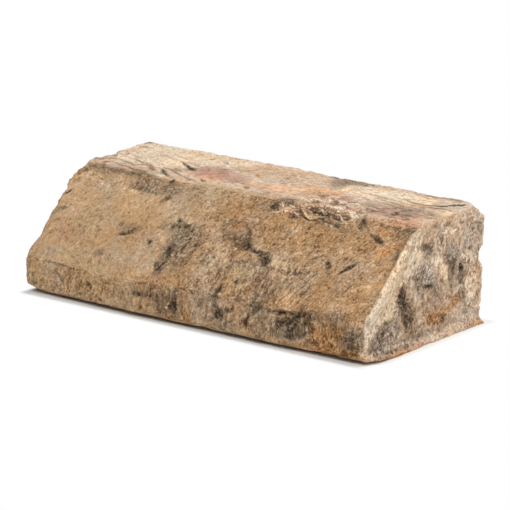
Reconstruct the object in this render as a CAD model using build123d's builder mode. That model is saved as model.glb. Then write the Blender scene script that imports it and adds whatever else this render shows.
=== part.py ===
"""A hand-moulded clay plinth brick: one fired piece with a long crowned slope over a low front lip,
worn and chipped arrises, and the flash that the mould left round its right-hand end.

Millimetres. X runs along the brick, -Y is the lipped front, Z is up from the bottom bed.
The origin is at the bottom centre of the brick's box, flash included.
"""

import os
from math import cos, hypot, radians, sin

from build123d import *

# Body of the brick
length = 215.0
depth = 102.5
height = 60.0

# Slope: its run at the right-hand end, what it gains by the left-hand end, and its crown
bevel_run = 43.5
bevel_gain = 3.5
crown_left = 3.0
crown_right = 0.8

# Front lip: its height at the right-hand end, its fall to the left, and its bow in plan
lip_height = 20.5
lip_fall = 5.0
front_bow = 1.8

# Wear of the arrises
arris_radius = 1.8
lip_radius = 2.2
foot_radius = 2.0

# Mould flash under the right-hand end, which stops short of the back
skirt_reach = 4.0
skirt_rise = 5.0
skirt_edge = 1.2
skirt_start = 9.0
skirt_short = 4.0
skirt_waver = (0.1, 0.9, 0.75, 1.0)

# Mould flash down the right-hand end of the slope, with its share of the way up and of full size
fin_reach = 3.0
fin_stand = 0.6
fin_drop = 11.0
fin_root = 5.0
fin_inset = 1.0
fin_stretches = ((0.05, 0.75), (0.35, 1.0), (0.75, 0.8), (0.95, 0.15))

# What the corners have lost, measured square to each break
foot_loss = 3.6
shoulder_loss = 2.4
back_corner_loss = 4.6
back_foot_loss = 1.8

# Long break of the upper arris, which deepens towards the right and ends in a step
break_start = 0.61
break_end = 0.83
break_loss = 2.6
break_lean = 13.0

# Chips, each a hollow of this radius bitten this deep: along the upper arris they also have a share
# of the length
arris_chips = ((0.65, 14.0, 1.8), (0.72, 13.0, 2.9), (0.785, 12.0, 3.6))
lip_chip_share = 0.865
lip_chip_radius = 7.0
lip_chip_bite = 2.6
edge_chip_height = 34.0
edge_chip_radius = 6.5
edge_chip_bite = 3.0

# Waver of the hand-made body: share of the length, set-back of the upper arris, lift of the lip
stations = (
    (-0.02, -0.4, -0.2),
    (0.14, 0.9, 1.2),
    (0.30, 0.2, -0.3),
    (0.49, 1.2, 1.3),
    (0.66, -1.2, 0.1),
    (0.84, 1.6, 0.7),
    (1.02, 0.0, 0.0),
)

# Leans of the chips off the upper arris and off the upright edge
arris_lean = Vector(0, -0.4, 0.9)
edge_lean = Vector(0.7, 0.7, 0)

# Spare stock that the beds, the back and the ends are cut from
margin = 6.0

left_end = -(length + skirt_reach) / 2
right_end = left_end + length
front = -depth / 2
back = depth / 2
end_front = front + front_bow
arris = front + bevel_run

with BuildPart() as brick:
    # The body is lofted through its sections, then cut square at the beds, the back and the ends
    for share, set_back, lift in stations:
        face_y = front + front_bow * (2 * share - 1) ** 2
        lip = lip_height - lip_fall * (1 - share) + lift
        arris_y = arris + bevel_gain * (1 - share) + set_back
        crown = crown_right + (crown_left - crown_right) * (1 - share)
        run = arris_y - face_y
        rise = height - lip
        bulge = 2 * crown / hypot(run, rise)
        crown_point = ((face_y + arris_y - bulge * rise) / 2, (lip + height + bulge * run) / 2)
        with BuildSketch(Plane.YZ.offset(left_end + share * length)):
            with BuildLine():
                ThreePointArc((face_y, lip), crown_point, (arris_y, height))
                Polyline(
                    (arris_y, height),
                    (arris_y + margin, height + margin),
                    (back + margin, height + margin),
                    (back + margin, -margin),
                    (face_y, -margin),
                    (face_y, lip),
                )
            make_face()
    loft()
    with Locations((left_end, back, 0)):
        Box(length, depth + margin, height, align=(Align.MIN, Align.MAX, Align.MIN), mode=Mode.INTERSECT)

    # Worn arrises of the foot, the lip and the slope: the front three of the five long edges
    long_edges = brick.edges().filter_by(lambda edge: edge.length > length / 2)
    foot_arris, lip_arris, upper_arris = long_edges.sort_by(Axis.Y)[:3].sort_by(Axis.Z)
    fillet(upper_arris, arris_radius)
    fillet(lip_arris, lip_radius)
    fillet(foot_arris, foot_radius)

    # Flash flared out along the foot of the right-hand end, in plan at its thin edge and at its root
    root = right_end - skirt_edge
    skirt_plans = ((0, skirt_reach), (skirt_edge, skirt_reach), (skirt_rise, 0))
    for level, reach in skirt_plans:
        flares = [right_end + reach * waver for waver in skirt_waver]
        with BuildSketch(Plane.XY.offset(level)):
            with BuildLine():
                Polyline(
                    (root, end_front + skirt_edge),
                    (flares[0], end_front + skirt_edge),
                    (flares[1], end_front + skirt_start),
                    (flares[2], 0),
                    (flares[3], back - skirt_short),
                    (root, back - skirt_edge),
                    close=True,
                )
            make_face()
    loft(ruled=True)

    # Flash down the slope's right-hand arris, thin at the top and widest at the lip
    slope_way = Vector(0, bevel_run - front_bow, height - lip_height)
    fin_bottom = Plane(origin=(right_end, end_front, lip_height), x_dir=(1, 0, 0), z_dir=slope_way)
    for share, size in fin_stretches:
        with BuildSketch(fin_bottom.offset(slope_way.length * share)):
            with BuildLine():
                Polyline(
                    (-fin_root * size, fin_inset),
                    (0, -(crown_right + fin_stand) * size),
                    (fin_reach * size, -(crown_right + fin_stand) * size),
                    (fin_reach * size, 0),
                    (-fin_inset, fin_drop * size),
                    close=True,
                )
            make_face()
    loft(ruled=True)

    # Broken corners: where each stood, the way it faced and how much has gone
    losses = (
        ((left_end, front, 0), (-0.3, -0.45, -0.85), foot_loss),
        ((left_end, arris + bevel_gain, height), (-0.6, -0.3, 0.74), shoulder_loss),
        ((right_end, back, height), (0.45, 0.55, 0.7), back_corner_loss),
        ((right_end, back, 0), (0.4, 0.9, -0.15), back_foot_loss),
    )
    for corner, facing, loss in losses:
        with BuildSketch(Plane(origin=corner, z_dir=facing).offset(-loss)):
            Rectangle(height, height)
        extrude(amount=height, mode=Mode.SUBTRACT)

    # Long break of the upper arris: a plane that meets the arris at one end and is deep at the other
    stretch = (break_end - break_start) * length
    break_slope = break_loss / stretch
    break_way = Vector(break_slope, -sin(radians(break_lean)), cos(radians(break_lean)))
    break_corner = (left_end + break_end * length, arris + bevel_gain * (1 - break_end), height)
    break_plane = Plane(origin=break_corner, x_dir=(break_way.Z, 0, -break_way.X), z_dir=break_way)
    with BuildSketch(break_plane.offset(-break_loss)):
        Rectangle(stretch, bevel_run, align=(Align.MAX, Align.CENTER))
    extrude(amount=height, mode=Mode.SUBTRACT)

    # Chips out of the upper arris, the lip and the back edge of the right-hand end
    for share, radius, bite in arris_chips:
        chipped = Vector(left_end + share * length, arris + bevel_gain * (1 - share), height)
        with Locations(chipped + arris_lean * (radius - bite)):
            Sphere(radius, mode=Mode.SUBTRACT)
    with Locations((left_end + lip_chip_share * length, front + lip_chip_bite - lip_chip_radius, lip_height)):
        Sphere(lip_chip_radius, mode=Mode.SUBTRACT)
    chipped_edge = Vector(right_end, back, edge_chip_height)
    with Locations(chipped_edge + edge_lean * (edge_chip_radius - edge_chip_bite)):
        Sphere(edge_chip_radius, mode=Mode.SUBTRACT)

brick.part.label = "brick"
os.makedirs("parts", exist_ok=True)
export_step(brick.part, "parts/brick.step")
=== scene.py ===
"""Looks of the hand-moulded clay plinth brick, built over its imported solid.

The brick's solid is remeshed finely, warped and roughened in code, and painted by one procedural clay
material. A mark of the real brick that can be told apart is a stroke of its own on one of the faces.
Lengths are millimetres up to the point where they are handed to Blender, which takes metres.
"""

import itertools
import math

import bpy
import numpy as np
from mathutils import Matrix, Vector


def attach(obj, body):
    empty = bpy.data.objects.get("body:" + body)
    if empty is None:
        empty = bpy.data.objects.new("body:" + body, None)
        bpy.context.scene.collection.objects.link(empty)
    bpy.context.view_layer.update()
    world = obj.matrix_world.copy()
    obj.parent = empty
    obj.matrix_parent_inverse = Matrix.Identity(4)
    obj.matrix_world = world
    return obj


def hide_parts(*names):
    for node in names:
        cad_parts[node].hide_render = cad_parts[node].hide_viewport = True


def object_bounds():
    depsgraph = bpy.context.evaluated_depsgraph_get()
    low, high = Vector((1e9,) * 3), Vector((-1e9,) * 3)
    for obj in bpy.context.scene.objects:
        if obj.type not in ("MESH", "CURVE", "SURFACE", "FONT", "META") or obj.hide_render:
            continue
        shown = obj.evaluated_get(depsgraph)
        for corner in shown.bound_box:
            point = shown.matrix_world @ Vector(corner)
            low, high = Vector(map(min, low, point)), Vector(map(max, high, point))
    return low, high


MM = 0.001

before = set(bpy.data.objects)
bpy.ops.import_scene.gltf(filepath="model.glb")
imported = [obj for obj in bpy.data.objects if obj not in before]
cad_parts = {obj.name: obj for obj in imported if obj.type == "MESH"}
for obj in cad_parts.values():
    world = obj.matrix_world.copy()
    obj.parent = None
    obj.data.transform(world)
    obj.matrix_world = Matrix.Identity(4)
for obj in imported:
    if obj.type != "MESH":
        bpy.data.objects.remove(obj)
cad_low, cad_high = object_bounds()

LEFT, FRONT, BOTTOM = (value / MM for value in cad_low)
RIGHT, BACK, TOP = (value / MM for value in cad_high)

# The body's right-hand end stands this far inside the flash at its foot
FLASH = 4.0
END = RIGHT - FLASH
LENGTH = END - LEFT

# The slope, as the solid has it: lip height and run at the right-hand end, and their change to the left
LIP = 20.5
LIP_FALL = 5.0
RUN = 43.5
RUN_GAIN = 3.5
BOW = 1.8

# Side of the fine mesh's quads
VOXEL = 0.92

# Two places are where something is gone and is full, and four are where it starts, is full, fades and
# is gone. First the flash beside the slope: outwards, upwards and down from the slope.
FLASH_OUT = (-0.6, 0.4)
FLASH_UP = (7.0, 9.0)
FLASH_UNDER = (-3, -2, 10, 12)

# The combed middle of the slope: along the brick and up the slope
COMBED = (-12, 2, 50, 72)
COMBED_UP = (36, 28)

# The crumbled upper arris: along the brick, up the slope and back over the top
CRUMBLED = (20, 30, 66, 78)
CRUMBLED_UP = (48, 54)
CRUMBLED_BACK = (28, 8)

# Along the brick: the streaks of the top and the lip, and the slope's finer relief, grain and brown clay
TOP_STREAKS = (40, 70)
LIP_STREAKS = (-42, -25, 74, 86)
SLOPE_ROUGHER = (-60, 0)
SLOPE_STRONGER = (-50, 5)
BROWNER = (-55, 5)

# The front edge of the top's colour: its reach past the arris, and how far and where it lies further back
TOP_EDGE = (-1, 4)
TOP_EDGE_BACK = 4
TOP_EDGE_AT = (-60, -10, 30, 60)

# The hollow under the front foot: its height, and its reach inwards and upwards
HOLLOW = 1.7
HOLLOW_IN = (30, 4)
HOLLOW_UP = (9.0, 0.0)

# The bulges of the left-hand end: at its foot and at its head, and their reach inwards
FOOT_BULGE = 2.2
FOOT_BULGE_UP = (30, 18)
HEAD_BULGE = 1.6
HEAD_BULGE_UP = (44, 52)
BULGE_IN = (12, 0)

# The struck top's rise at its back edge: its mean, left-hand swell and tilt, the share of the height
# where it starts, and the most that it stands above the bed
TOP_RISE = 0.9
SWELL = 0.6
SWELL_AT = (-85, -65, -15, 5)
TOP_TILT = 0.9
RISE_START = 0.6
MOST_CROWN = 1.7

# Noises of the shape: how far each reaches, the width of its lumps, its seed and its number of layers
NOISES = {
    "lump": (0.45, 30, 21, 3),
    "swelling": (0.22, 9, 31, 3),
    "fibre": (1, 2.4, 41, 2),
    "crumb": (1, 3.4, 51, 2),
    "crease": (1, 5, 45, 1),
    "crease_zone": (1, 16, 46, 1),
    "pit": (1, 3.2, 61, 1),
    "crumble": (0.7, 6, 56, 2),
    "splinter": (0.35, 1.6, 57, 2),
    "tear": (1, 3, 55, 1),
    "nibble": (1, 6, 71, 3),
    "depth": (0.6, 2.4, 75, 1),
    "bed": (1, 9, 81, 3),
    "foot": (0.3, 20, 95, 1),
    "left": (0.8, 8, 98, 3),
    "top": (0.5, 17, 91, 1),
    "browning": (14, 22, 96, 1),
    "top_edge": (4, 8, 97, 3),
}

# Depths of the other unevenness: creases are deeper on the lip and the end, and bites are out of arrises
CREASE = 0.2
MORE_CREASE = 0.25
PIT = 0.55
TEAR = 0.4
TEAR_SINK = 0.15
STRAND = 0.4
WEAR = 0.1
BITE = 1.1
BED_LOSS = 0.4

# How much shorter the mean normal is where an arris is keen, and how deep a full cavity is
KEEN = 0.25
DEEP = 0.25

# How far the grain wanders
SWIRL = 1.6

# How square to a face a point's normal starts to count as that face's, and counts in full
FACING = {
    "slope": (0.80, 0.94),
    "top": (0.80, 0.94),
    "lip": (0.75, 0.92),
    "end": (0.45, 0.75),
    "back": (0.75, 0.92),
    "left": (0.75, 0.92),
    "under": (0.5, 0.9),
}

# Depth of the crumbs and of the fibres on each face
TEXTURE = {
    "slope": (0.14, 0.14),
    "top": (0.20, 0.10),
    "lip": (0.30, 0.18),
    "end": (0.34, 0.18),
    "rest": (0.24, 0.16),
}

# How strongly the colours of each part follow the grain
CONTRAST = {"slope": 0.65, "lip": 0.95, "end": 1.0, "top": 0.72, "crumbled": 0.6, "rest": 0.9, "flash": -0.1}

# Which way the clay was dragged on each face, with how long the marks are against their width
DRAGS = {
    "slope": ((0.47, 0.64, 0.61), 1.9),
    "ribs": ((0.12, 0.70, 0.66), 3.0),
    "top": ((1.0, -0.3, 0.0), 2.6),
    "streaks": ((1.0, -0.15, 0.0), 7.0),
    "strands": ((1.0, -0.4, -0.35), 4.5),
    "lip": ((0.25, 0.0, 1.0), 2.8),
    "end": ((0.0, 0.7, 0.7), 1.8),
    "rest": ((0.0, 0.3, 1.0), 2.4),
}

# Strokes on the faces: centre across, centre up, half length, half width, lean in degrees where there is
# one, strength. Across and up are x and the way up the slope on the slope, x and y on the top, x and z on
# the lip and the back, y and z on both ends, and the way up and the drop below it on the slope's flash.
# Grey and black smudges of the clay. Some of them also paint shadow: the strokes under the overhanging top
# arris and beside the flash's ridge at the right of the slope, in the crumbled hollows of its upper arris,
# along the shelf where the slope meets the lip from 50 to 72 along and under it on the lip, and under the
# ledge at the foot of the right-hand end.
SMUDGES_AND_SHADOWS = {
    "slope": (
        (-90, 62.5, 20, 2.6, 0.6), (-102, 61, 6, 2, 20, 0.6), (-60, 57, 11, 5, -3, 0.85),
        (-62, 53.8, 8, 1, -3, 0.9), (-48, 62, 3, 1.1, 70, 1), (-45, 50.5, 4, 1.6, 50, 0.9),
        (-45, 57.5, 7, 5, -8, 0.75), (-56, 47, 2, 0.9, 80, 0.6), (-16, 52, 1.5, 1.5, 0.7),
        (-77, 42, 2.5, 3, 0.35), (-80, 45, 2, 1, 20, 0.6), (-107, 44, 2.8, 0.9, 50, 0.95),
        (-104, 34, 2, 1.1, 0.85), (-102, 27, 1.5, 1.5, 0.6), (-108, 30, 5, 6, 0.5), (-84, 28, 3, 2, 0.3),
        (-48, 37, 1.1, 1.3, 0.8), (-62, 31, 1.7, 1.5, 0.6), (-57.5, 26.2, 2.8, 1.2, 10, 1),
        (-53, 28.6, 3.2, 1.2, 25, 1), (-55, 30, 10, 4.5, 15, 0.45), (-39, 24, 1.4, 1.4, 1),
        (-42, 26, 2, 1, 0.5), (-29, 39, 2.2, 0.9, -60, 1), (-33, 34, 6, 2.2, 15, 0.9),
        (-23, 36.5, 7, 2.4, -5, 1), (-15, 33, 7, 6, -35, 0.5), (-22, 27, 8.5, 11, -8, 0.75),
        (-16, 22, 6, 9, 10, 0.7), (-26, 14, 2.6, 7, -12, 1), (-24, 20, 3, 5, -10, 0.95), (-24, 9, 3, 4, 0.6),
        (-67, 13.5, 2.2, 2, 0.5), (-68, 14, 6, 8, 0.2), (-62, 20, 4, 5, 0.22), (-97, 8, 7, 5, 0.3),
        (-88, 1.4, 13, 0.9, -2, 0.8), (-70, 7, 2, 1, 0.5), (-30, 60, 8, 2.5, 0.35),
        (-8, 46, 3, 1.5, -30, 0.5), (25, 61, 7, 2, 0.75), (22, 57.5, 3, 2, -10, 1),
        (44, 53.5, 5, 0.9, -3, 1), (36, 57, 7, 0.9, -30, 1), (44, 59.2, 8, 0.9, -16, 1),
        (35, 53, 3.6, 1.4, -20, 0.9), (53, 57, 8, 3.2, -24, 1), (58, 53.8, 6, 2, -25, 1),
        (45, 58, 12, 3, -4, 0.75), (24, 49.7, 1.1, 1.1, 0.9), (33, 45, 1.2, 1.6, 0.4),
        (38, 44, 1.6, 2.2, 0.6), (56, 34, 1.3, 1.7, 0.65), (74.5, 56, 1.3, 4, 12, 1),
        (78, 54, 1.2, 3, 20, 0.6), (87, 48.5, 6.4, 1.5, -27, 1), (98, 56.2, 9, 1.6, -3, 0.85),
        (99, 53.5, 8, 2.5, 0.4), (69, 28.5, 2.2, 2.8, 30, 1), (71.5, 24.5, 2, 1.6, 0.7),
        (70, 35, 3, 1, 50, 0.5), (80.5, 29.2, 5.2, 1.1, 52, 1), (96, 26, 1.6, 2.8, -20, 0.6),
        (104, 40, 1.3, 3, 20, 0.85), (102, 43, 2, 1, 0.5), (17, 36.5, 2.6, 6, 32, 0.85),
        (13, 33, 6, 6, 0.25), (19.5, 31.5, 4.4, 2.2, -15, 1), (28, 28.8, 5.4, 1.5, -12, 1),
        (34, 25.6, 4, 3, -30, 1), (36, 21, 5, 5, 0.35), (37.5, 22.5, 2.2, 1.6, 0.9), (44, 21, 5, 1.2, 0.65),
        (54, 21.7, 4.4, 1.6, 15, 0.9), (59, 23.8, 2.6, 2.1, 20, 0.85), (64, 22, 2, 2, 0.6),
        (2, 44, 9, 1.7, 5, 0.6), (0, 40, 4, 2.4, 0.5), (6, 35, 4, 4, 0.5), (12, 33, 3, 4, 20, 0.7),
        (15, 20, 3.2, 12, 0.45), (21, 22, 1.2, 2.2, -20, 0.8), (25, 21, 1.2, 2.2, -20, 0.8),
        (15.5, 4.5, 1.7, 3.6, 1), (15.5, -1, 2.2, 2.2, 1), (24, 11.5, 0.9, 2.8, 5, 1),
        (28, 13, 0.9, 3, 12, 0.85), (28.5, 3, 1.6, 3.2, 0.9), (39, 3.5, 2.2, 2.6, 0.85),
        (40, -1, 4.4, 2, 0.9), (45, 7, 4, 4, 0.5), (36, 10, 11, 8, 0.35), (30, 19, 9, 8, 0.3),
        (47, 15, 10, 7, 0.3), (67.5, 3.5, 1, 4, -15, 0.9), (65, 12, 1.6, 4, -20, 0.6), (62, 15, 6, 5, 0.35),
        (58, -0.8, 8, 0.9, 2, 0.9), (3, 24, 3, 12, 0.3), (-4, 15, 2, 10, 0.25),
    ),
    "lip": (
        (-87, 12, 3.6, 0.9, -42, 0.9), (-91, 13.5, 1.1, 1.1, 0.7), (-98, 6, 8, 1.5, -50, 0.35),
        (-100, 14, 5, 1, -60, 0.4), (-67.5, 11, 1.9, 1.5, 0.94), (-59, 3.6, 1.3, 1.4, 0.9),
        (-54, 9, 2.5, 2.5, 0.35), (-66, 3, 3, 1, 0.5), (-35, 12.5, 3.4, 1.4, -5, 1), (-31, 13, 4, 1.4, 0.7),
        (-40, 6, 5, 2, -30, 0.4), (-18, 10, 11, 7, 0.6), (-27, 13, 3, 2, 0.6), (-12, 12.5, 2, 4, -15, 1),
        (-10, 9, 1.6, 3, 0.95), (-9, 16.5, 1.6, 2.2, 10, 0.9), (-20, 5, 2, 4, 20, 0.5),
        (-15, 15, 4, 1.2, 20, 0.6), (5, 16, 3.4, 2.4, 0.6), (17, 11.5, 3.8, 3.2, 1),
        (15, 16.5, 1.4, 2.4, 0.9), (19.5, 6, 1.5, 3.2, 0.55), (23.5, 14.4, 5, 1.2, 15, 0.9),
        (10, 8, 1, 5, 0.45), (6, 9, 1, 5, 0.35), (35.5, 10.5, 1.5, 3.2, -20, 1),
        (37.5, 16, 3, 2.6, 30, 0.85), (44, 14, 4.5, 4, 0.55), (43, 20, 4.4, 1.4, 15, 0.9),
        (46, 9, 2, 1.4, 0.5), (50, 6, 5, 3, 0.4), (56.5, 15, 4, 4.4, 1), (61.5, 10, 5, 5.4, 1),
        (66, 16, 7, 3.2, 15, 1), (54, 9, 4, 4, 0.7), (61, 18.6, 12, 1.6, 2, 1), (72, 17, 4, 4, 0.9),
        (69, 11, 4, 5, 0.8), (75.5, 6.5, 2.6, 1.7, 30, 1), (71.5, 3, 1.3, 1.2, 0.9), (99, 12, 5, 6, 0.9),
        (103.5, 13, 1.6, 4.4, -15, 0.85), (96, 8, 3, 2, 0.5), (88, 17, 2, 2.5, 0.6), (91, 11, 1.2, 3, 0.4),
        (30, 3, 8, 1, 0.3), (70, 7, 2.5, 3.5, 0.4),
    ),
    "end": (
        (-40, 10, 5, 6, 6, 0.25), (-44, 7.5, 5, 3, 0.35), (-30, 18, 8, 1.2, 2, 0.6), (-36, 14, 4, 3, 0.4),
        (-19, 28, 3.4, 6, 25, 1), (-15, 18, 5, 8, 22, 1), (-10.5, 11, 4, 5.5, 20, 0.9),
        (-10, 22, 2, 6, 15, 0.6), (-6, 32, 4, 5, -35, 0.5), (5, 25, 9, 5, -20, 0.4), (4, 28.3, 3.8, 0.9, 1),
        (14.5, 29, 1.2, 1.2, 0.9), (-1, 49.3, 4, 2, 0.7), (4, 46, 5, 3, -10, 0.45),
        (9, 57, 5, 1.8, -15, 0.5), (24, 36, 4, 5, 10, 0.5), (35, 43, 4, 3, 0.4), (31, 32, 1.8, 2.6, 1),
        (30, 25, 5, 5, 0.4), (33, 17, 2, 2.4, 0.65), (22, 30, 4, 6, 0.4), (16, 8.5, 2.8, 1.8, 35, 0.85),
        (-3, 5, 5, 3, 0.5), (12, 4, 5, 2, 0.35), (-30, 2.6, 7, 0.9, 3, 0.9), (-18, 2.2, 4, 0.9, 0.85),
        (45, 52, 4, 3, 0.4), (20, 56, 4, 2, 0.4), (9, 15, 7, 1.2, -5, 0.45), (-2, 20, 5, 5, 0.45),
    ),
    "top": (
        (-92, -3, 9, 3.6, -12, 0.7), (-80, -7, 10, 3.4, -5, 0.6), (-106, 10, 4, 9, 0.6),
        (-73, 0, 5, 3.4, -30, 0.7), (-62, 4.5, 8, 1.4, -38, 1), (-75, 9, 8, 1.6, -38, 0.8),
        (-61, 22, 9, 1.1, -33, 1), (-54.5, 18, 3.8, 1.6, -28, 1), (-57, 24.5, 3, 1.3, -30, 0.6),
        (-60, 12, 3, 1.3, -40, 0.8), (-56, 15, 6, 4, 0.4), (-48, -7, 5, 1.6, -68, 1),
        (-86, 14, 9, 1.2, -30, 0.7), (-95, 22, 7, 1.1, -25, 0.6), (-80, 30, 10, 1, -18, 0.5),
        (-40, 27, 3, 2, 0.65), (-36, 5, 3.4, 1.8, -35, 0.9), (-48, 38, 4, 1.4, -50, 0.5),
        (-8, 5.5, 3.4, 1.4, -50, 0.85), (-18, 8, 4, 2, -20, 0.3), (-68, 40, 4, 2, 0.3),
        (-105, 40, 3, 4, 0.45), (-109, 48, 2, 3, 0.7), (25, -3, 6, 4, 0.85), (31, 15, 2.2, 1.5, 0.9),
        (36, 4, 2.2, 2.8, 0.7), (24, 42, 8, 7, 0.6), (28, 33, 4, 5, 0.5), (18, 50, 6, 3, 0.9),
        (35, 47, 6, 3.4, 0.9), (0, 51, 14, 1.2, 0.7), (45, 10, 3.4, 1.6, -40, 0.95), (51, 9, 1.8, 1.6, 1),
        (50, 14.6, 1.6, 1.2, 0.9), (48, 6, 3.6, 3, 0.6), (62, -4, 3.2, 1.6, -50, 1),
        (56, -9, 6, 3, -30, 0.9), (62, 18, 8, 5, 0.4), (75, 17, 3, 3, 0.55), (84, 17.5, 4, 4, 0.7),
        (81.5, 8.5, 2, 3.4, 20, 0.95), (88, 8, 6, 4, 0.55), (92, 2.5, 1.5, 1.4, 0.9), (67, 6, 3.4, 2, 0.5),
        (95, 38, 6.5, 1.3, 50, 1), (97.5, 41, 3.2, 1.6, 35, 1), (87, 26, 3, 4, 0.5), (80, 49, 10, 2, 0.85),
        (92, 47, 5, 2, 0.85), (60, 30, 16, 1, -6, 0.6), (75, 24, 14, 1, -8, 0.7), (88, 33, 12, 0.9, 4, 0.6),
        (72, -3, 1.5, 4, 30, 0.6), (58, 28, 4, 3, 0.3), (70, 8, 16, 0.8, -8, 0.9),
        (84, 20, 18, 0.8, -6, 0.9), (60, 14, 14, 0.8, -10, 0.8), (92, 29, 13, 0.8, 0.8),
        (98, 12, 9, 0.8, -10, 0.8), (88, 1, 12, 0.8, -4, 0.8), (76, 33, 14, 0.8, -5, 0.7),
        (94, 17, 10, 0.7, -12, 0.8), (-85, 2, 14, 0.9, -14, 0.9), (-70, -3, 12, 0.9, -8, 0.9),
        (-60, 9, 10, 0.8, -25, 0.8), (-96, 12, 8, 0.8, -20, 0.8), (-88, 8, 10, 0.8, -16, 0.7),
        (-45, 3, 9, 0.8, -20, 0.7), (-30, 30, 12, 0.8, -12, 0.6), (-75, 34, 12, 0.8, -14, 0.6),
    ),
    "back": (
        (-84, 22, 20, 6, 8, 0.5), (-78, 19, 7, 1.6, 12, 0.95), (-47, 46, 22, 5, -4, 0.5),
        (-36, 47, 5, 1.2, -10, 1), (-12, 14, 24, 6, 5, 0.45), (22, 38, 14, 4, 12, 0.5),
        (30, 39, 5, 1, 16, 0.95), (58, 20, 22, 6, -6, 0.55), (66, 18, 6, 1.8, -8, 1), (84, 50, 16, 4, 0.6),
        (-101, 50, 8, 4, 0.6), (38, 6, 30, 3, 2, 0.5), (-60, 5, 30, 3, 0.45), (4, 56, 24, 2, 0.5),
        (-28, 30, 4, 0.8, 25, 0.9),
    ),
    "left": (
        (-20, 9, 16, 4, 0.5), (-34, 7, 2.4, 3.4, 0.95), (8, 30, 9, 10, 0.55), (11, 27, 2.4, 4.4, 20, 1),
        (30, 46, 8, 5, -25, 0.6), (33, 44, 3.4, 1.2, -35, 1), (-8, 40, 5, 3, 30, 0.6), (36, 14, 7, 6, 0.55),
        (22, 8, 1.6, 2.2, 0.95), (-25, 24, 1.3, 1.3, 0.9), (44, 30, 1.4, 5, 0.7),
    ),
}
RUST = {
    "slope": (
        (95, 42, 6.5, 2.2, 35, 1), (100, 45, 6, 2, 10, 0.6), (102, 23, 5, 3.4, 0.5), (92, 53, 8, 2.4, 0.6),
        (105, 50, 1.5, 8, 0.7), (-108, 56, 2.4, 6, 0.7), (-20, 5, 12, 4, 0.45), (5, 55, 12, 5, 0.35),
        (36, 48, 2, 2, 0.6), (68, 56, 3, 3, 0.5),
    ),
    "lip": (
        (83, 12, 8, 5.4, 1), (76, 9, 5, 4, 0.8), (50, 1.6, 26, 2.2, 0.5), (85, 2.5, 18, 2.6, 0.9),
        (90, 14, 4, 3, 0.4), (-2, 6, 2.4, 5.5, 0.7), (-106.5, 15, 1.8, 2.8, 0.8), (106, 2, 2.6, 1.6, 0.8),
        (38, 8, 2.4, 3, 0.5), (-94, 6, 4, 3, 0.3),
    ),
    "end": (
        (12, 11, 9, 4.2, 12, 0.85), (26, 15.5, 5.4, 3.2, 15, 1), (5, 13, 5, 2.4, 0.6),
        (45, 31, 1.3, 5.5, -15, 0.9), (42, 1.2, 9, 1.8, 0.8), (-25, 0.3, 24, 1.6, 0.6), (-9, 8, 3, 5, 0.4),
    ),
    "top": ((-18, 26, 4.4, 1.3, -50, 0.8), (36, 21, 3, 2, 0.6), (-8, 0, 6, 4, -20, 0.4)),
    "back": (
        (-62, 14, 16, 4, 8, 0.6), (6, 30, 14, 3.4, -8, 0.5), (80, 12, 16, 4, 0.7),
        (36, 26, 10, 2.4, 15, 0.4), (20, 1.4, 70, 1.8, 0.6),
    ),
    "left": ((-36, 14, 6, 4, 0.8), (24, 22, 8, 5, 15, 0.7), (0, 1.4, 40, 1.8, 0.6)),
}
ROSE = {
    "top": (
        (-42, 19, 10, 8, -10, 1), (-30, 17, 13, 7, -10, 0.75), (-72, 7, 7, 4, -35, 0.4), (44, 17, 5, 4, 0.8),
        (57, 5, 3.4, 2.4, 0.7), (84, 9, 8, 5, 0.7), (70, 14, 8, 5, 0.4), (27, 44, 7, 5, 0.5),
        (-105, 30, 5, 6, 0.4), (75, 4, 12, 2.6, 0.5), (80, 12, 22, 8, 0.4), (45, 1, 16, 6, 0.3),
        (26, -2, 6, 4, 0.4), (-25, 42, 14, 6, 0.3),
    ),
    "end": ((3, 60, 9, 1.6, 0.6), (-20, 1, 24, 1.6, 0.7), (-33, 12, 9, 5, 0.25)),
    "slope": (
        (-92, 20, 14, 5, 0.35), (-90, 63, 18, 1.6, 0.4), (30, 56, 10, 2, 0.5), (8, 20, 4, 14, 0.25),
        (45, 59, 16, 4, 0.2),
    ),
}
MAUVE = {
    "end": (
        (-33, 11, 13, 8, 6, 1), (-1, 35, 9, 6.5, -35, 0.9), (6, 25, 12, 7, -20, 0.7),
        (4, 47, 7.5, 4.6, -10, 0.8), (24, 39, 6, 7.5, 10, 0.9), (36, 43, 6, 4, 0.7), (30, 26, 7, 7, 0.7),
        (0, 4, 45, 4, 0.5),
    ),
    "slope": (
        (-55, 30, 12, 5, 15, 0.45), (-97, 8, 8, 6, 0.4), (-75, 42, 8, 4, 10, 0.3), (-20, 24, 10, 12, 0.4),
    ),
    "top": ((85, 15, 26, 12, 0.6), (-92, 5, 14, 8, 0.3), (26, 44, 10, 8, 0.6)),
    "back": (
        (-84, 24, 22, 8, 6, 0.6), (-12, 20, 22, 8, 0.5), (60, 22, 24, 7, -6, 0.6), (86, 46, 16, 5, 0.5),
    ),
    "left": ((8, 30, 12, 12, 0.8), (-22, 10, 17, 6, 0.7), (32, 46, 10, 7, -25, 0.7)),
}
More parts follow.
